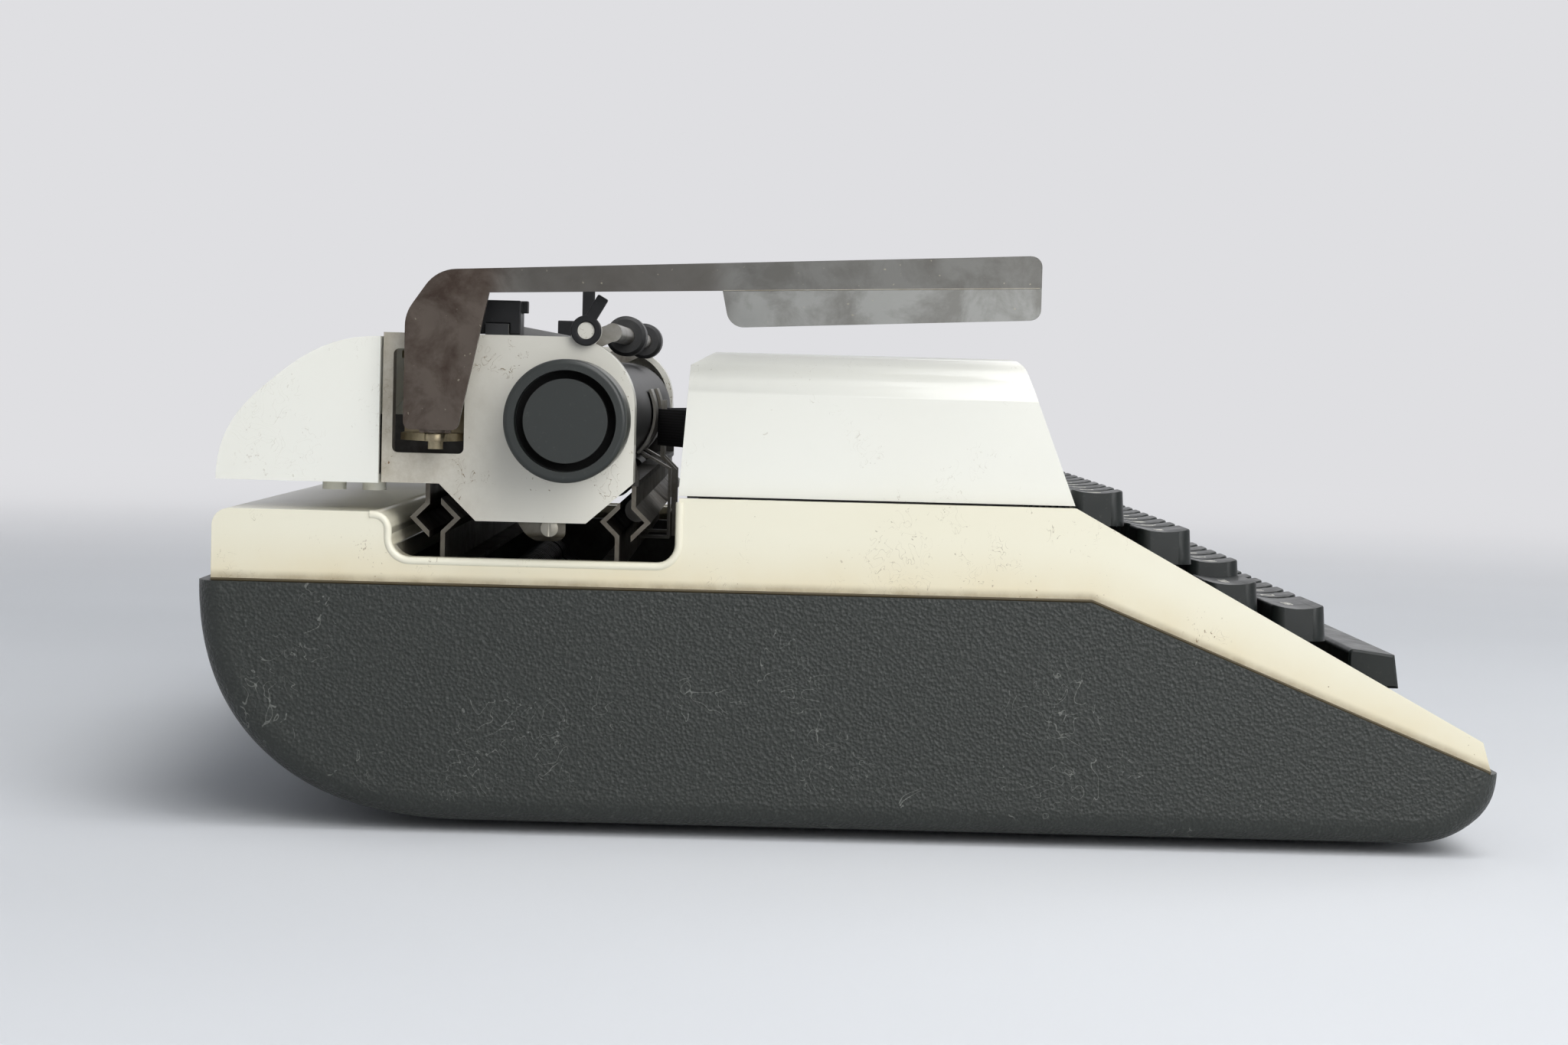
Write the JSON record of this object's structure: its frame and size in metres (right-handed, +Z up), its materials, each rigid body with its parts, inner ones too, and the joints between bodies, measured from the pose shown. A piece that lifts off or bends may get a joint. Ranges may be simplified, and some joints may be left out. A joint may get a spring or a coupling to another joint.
{
  "type": "portable typewriter",
  "caption": "Portable typewriter with a sliding carriage, return lever, hinged ribbon cover, key rows on levers, a typebar basket and a moulded lower case.",
  "frame": {"origin": "on the floor under the middle of the machine's bounding box", "axes": "+X along the carriage to the typist's right, +Y to the rear, +Z up; the typist sits at -Y"},
  "size_m": [0.376, 0.3432, 0.1548],
  "materials": {
    "cream_enamel": "glossy baked enamel, a little yellowed",
    "charcoal_grain": "moulded leather grain",
    "key_plastic": "satin moulded keys with light legends",
    "knob_plastic": "satin with a fine turned ring",
    "platen_rubber": "smooth matt rubber",
    "foot_rubber": "matt rubber",
    "bright_steel": "plated, slightly tarnished",
    "dark_steel": "oiled pressed steel",
    "type_steel": "polished steel",
    "brass": "dull brass plated",
    "black_paint": "satin black",
    "ribbon_cloth": "inked woven band"
  },
  "bodies": {
    "base": {"lower_shell": "charcoal_grain", "rubber_feet": "foot_rubber", "body_shell": "cream_enamel", "frame_left": "dark_steel", "frame_right": "dark_steel", "frame_rods": "dark_steel", "front_rail": "bright_steel", "rear_rail": "bright_steel", "cover_hinges": "dark_steel", "spool_cups": "black_paint", "card_guides": "bright_steel", "ribbon": "ribbon_cloth"},
    "segment": {"type_segment": "dark_steel", "typebars": "type_steel"},
    "struck_bar": {"struck_typebar": "type_steel"},
    "row_1": {"keys_row_1": "key_plastic", "levers_row_1": "dark_steel"},
    "row_2": {"keys_row_2": "key_plastic", "levers_row_2": "dark_steel"},
    "row_3": {"keys_row_3": "key_plastic", "levers_row_3": "dark_steel"},
    "row_4": {"keys_row_4": "key_plastic", "levers_row_4": "dark_steel"},
    "struck": {"struck_key": "key_plastic", "struck_key_lever": "dark_steel"},
    "space": {"space_bar": "key_plastic", "space_bar_frame": "dark_steel"},
    "shift": {"shift_keys": "key_plastic", "shift_levers": "dark_steel"},
    "shift_lock": {"shift_lock_key": "key_plastic"},
    "tab": {"tab_key": "key_plastic"},
    "margin_release": {"margin_release_key": "key_plastic"},
    "backspace": {"backspace_key": "key_plastic"},
    "left_spool": {"spool_left": "black_paint"},
    "right_spool": {"spool_right": "black_paint"},
    "vibrator": {"ribbon_vibrator": "bright_steel"},
    "cover": {"ribbon_cover": "cream_enamel"},
    "carriage": {"carriage_rails": "bright_steel", "carriage_frame": "dark_steel", "end_cover_left": "cream_enamel", "end_cover_right": "cream_enamel", "rear_fairing": "cream_enamel", "paper_table": "black_paint", "margin_rail": "bright_steel", "lever_bracket": "brass"},
    "rollers": {"rail_rollers": "type_steel"},
    "drum": {"mainspring_drum": "bright_steel"},
    "platen_roll": {"platen": "platen_rubber", "platen_shaft": "bright_steel", "knob_left": "knob_plastic", "knob_right": "knob_plastic"},
    "feed": {"feed_rollers": "foot_rubber"},
    "bail": {"bail_frame": "bright_steel"},
    "bail_wheels": {"bail_rollers": "foot_rubber"},
    "lever": {"return_lever": "bright_steel"},
    "spacer": {"line_space_lever": "bright_steel"},
    "release": {"paper_release_lever": "bright_steel"},
    "left_stop": {"margin_stop_left": "black_paint"},
    "right_stop": {"margin_stop_right": "black_paint"},
    "flap": {"paper_support": "cream_enamel"}
  },
  "joints": [
    {"name": "row_1_press", "type": "hinge", "parent": "base", "child": "row_1", "pos_m": [0, 0.1, 0.056], "axis": [1, 0, 0], "range_deg": [0, 3.2], "stiffness_Nm_per_rad": 1.5, "springref_deg": -20.05},
    {"name": "row_2_press", "type": "hinge", "parent": "base", "child": "row_2", "pos_m": [0, 0.1, 0.056], "axis": [1, 0, 0], "range_deg": [0, 3.2], "stiffness_Nm_per_rad": 1.5, "springref_deg": -20.05},
    {"name": "row_3_press", "type": "hinge", "parent": "base", "child": "row_3", "pos_m": [0, 0.1, 0.056], "axis": [1, 0, 0], "range_deg": [0, 3.2], "stiffness_Nm_per_rad": 1.5, "springref_deg": -20.05},
    {"name": "row_4_press", "type": "hinge", "parent": "base", "child": "row_4", "pos_m": [0, 0.1, 0.056], "axis": [1, 0, 0], "range_deg": [0, 3.2], "stiffness_Nm_per_rad": 1.5, "springref_deg": -20.05},
    {"name": "struck_press", "type": "hinge", "parent": "base", "child": "struck", "pos_m": [0, 0.1, 0.056], "axis": [1, 0, 0], "range_deg": [0, 3.2], "stiffness_Nm_per_rad": 0.3, "springref_deg": -20.05},
    {"name": "space_press", "type": "hinge", "parent": "base", "child": "space", "pos_m": [0, 0.1, 0.056], "axis": [1, 0, 0], "range_deg": [0, 2], "stiffness_Nm_per_rad": 1.2, "springref_deg": -20.05},
    {"name": "shift_press", "type": "hinge", "parent": "base", "child": "shift", "pos_m": [0, 0.1, 0.056], "axis": [1, 0, 0], "range_deg": [0, 3.2], "stiffness_Nm_per_rad": 3, "springref_deg": -20.05},
    {"name": "shift_lock_press", "type": "hinge", "parent": "base", "child": "shift_lock", "pos_m": [0, 0.1, 0.056], "axis": [1, 0, 0], "range_deg": [0, 3.2], "stiffness_Nm_per_rad": 0.4, "springref_deg": -20.05},
    {"name": "tab_press", "type": "hinge", "parent": "base", "child": "tab", "pos_m": [0, 0.1, 0.056], "axis": [1, 0, 0], "range_deg": [0, 3.2], "stiffness_Nm_per_rad": 0.4, "springref_deg": -20.05},
    {"name": "margin_release_press", "type": "hinge", "parent": "base", "child": "margin_release", "pos_m": [0, 0.1, 0.056], "axis": [1, 0, 0], "range_deg": [0, 3.2], "stiffness_Nm_per_rad": 0.4, "springref_deg": -20.05},
    {"name": "backspace_press", "type": "hinge", "parent": "base", "child": "backspace", "pos_m": [0, 0.1, 0.056], "axis": [1, 0, 0], "range_deg": [0, 3.2], "stiffness_Nm_per_rad": 0.4, "springref_deg": -20.05},
    {"name": "segment_shift", "type": "slide", "parent": "base", "child": "segment", "axis": [0, 0, -1], "range_m": [0, 0.0061]},
    {"name": "struck_bar_swing", "type": "hinge", "parent": "segment", "child": "struck_bar", "pos_m": [0, 0.0223, 0.052], "axis": [-1, 0, 0], "range_deg": [0, 107]},
    {"name": "left_spool_turn", "type": "hinge", "parent": "base", "child": "left_spool", "pos_m": [-0.105, 0.01, 0.105], "axis": [0, 0, 1], "continuous": true},
    {"name": "right_spool_turn", "type": "hinge", "parent": "base", "child": "right_spool", "pos_m": [0.105, 0.01, 0.105], "axis": [0, 0, 1], "continuous": true},
    {"name": "vibrator_lift", "type": "slide", "parent": "base", "child": "vibrator", "axis": [0, 0, 1], "range_m": [0, 0.0081]},
    {"name": "cover_swing", "type": "hinge", "parent": "base", "child": "cover", "pos_m": [0, -0.0482, 0.0975], "axis": [1, 0, 0], "range_deg": [0, 50]},
    {"name": "carriage_travel", "type": "slide", "parent": "base", "child": "carriage", "axis": [-1, 0, 0], "range_m": [-0.11, 0.11]},
    {"name": "rollers_travel", "type": "slide", "parent": "base", "child": "rollers", "axis": [-1, 0, 0], "range_m": [-0.056, 0.056]},
    {"name": "drum_turn", "type": "hinge", "parent": "base", "child": "drum", "pos_m": [-0.11, 0.133, 0.056], "axis": [0, 0, 1], "range_deg": [-317, 317]},
    {"name": "platen_turn", "type": "hinge", "parent": "carriage", "child": "platen_roll", "pos_m": [0, 0.0749, 0.1092], "axis": [1, 0, 0], "continuous": true},
    {"name": "feed_turn", "type": "hinge", "parent": "carriage", "child": "feed", "pos_m": [0, 0.06775, 0.08956], "axis": [1, 0, 0], "continuous": true},
    {"name": "bail_swing", "type": "hinge", "parent": "carriage", "child": "bail", "pos_m": [0, 0.0919, 0.1212], "axis": [-1, 0, 0], "range_deg": [0, 15]},
    {"name": "bail_wheels_turn", "type": "hinge", "parent": "bail", "child": "bail_wheels", "pos_m": [0, 0.0655, 0.1325], "axis": [1, 0, 0], "continuous": true},
    {"name": "lever_pull", "type": "hinge", "parent": "carriage", "child": "lever", "pos_m": [-0.168, 0.1098, 0.115], "axis": [0, 0, 1], "range_deg": [0, 35], "stiffness_Nm_per_rad": 0.15, "springref_deg": -11.46},
    {"name": "spacer_turn", "type": "hinge", "parent": "carriage", "child": "spacer", "pos_m": [-0.1638, 0.0715, 0.1326], "axis": [1, 0, 0], "range_deg": [-15, 15]},
    {"name": "release_pull", "type": "hinge", "parent": "carriage", "child": "release", "pos_m": [0.1633, 0.0909, 0.1182], "axis": [1, 0, 0], "range_deg": [0, 25]},
    {"name": "left_stop_slide", "type": "slide", "parent": "carriage", "child": "left_stop", "axis": [1, 0, 0], "range_m": [0, 0.2]},
    {"name": "right_stop_slide", "type": "slide", "parent": "carriage", "child": "right_stop", "axis": [-1, 0, 0], "range_m": [0, 0.08]},
    {"name": "flap_lift", "type": "hinge", "parent": "carriage", "child": "flap", "pos_m": [0, 0.11468, 0.1302], "axis": [1, 0, 0], "range_deg": [0, 75]}
  ],
  "couplings": [
    {"joint": "struck_bar_swing", "follows": "struck_press", "ratio": 33.4},
    {"joint": "vibrator_lift", "follows": "struck_press", "m_per_rad": 0.14324},
    {"joint": "segment_shift", "follows": "shift_press", "m_per_rad": 0.10743},
    {"joint": "right_spool_turn", "follows": "left_spool_turn", "ratio": 1},
    {"joint": "rollers_travel", "follows": "carriage_travel", "ratio": 0.5},
    {"joint": "drum_turn", "follows": "carriage_travel", "rad_per_m": 50},
    {"joint": "feed_turn", "follows": "platen_turn", "ratio": -3.4783}
  ]
}
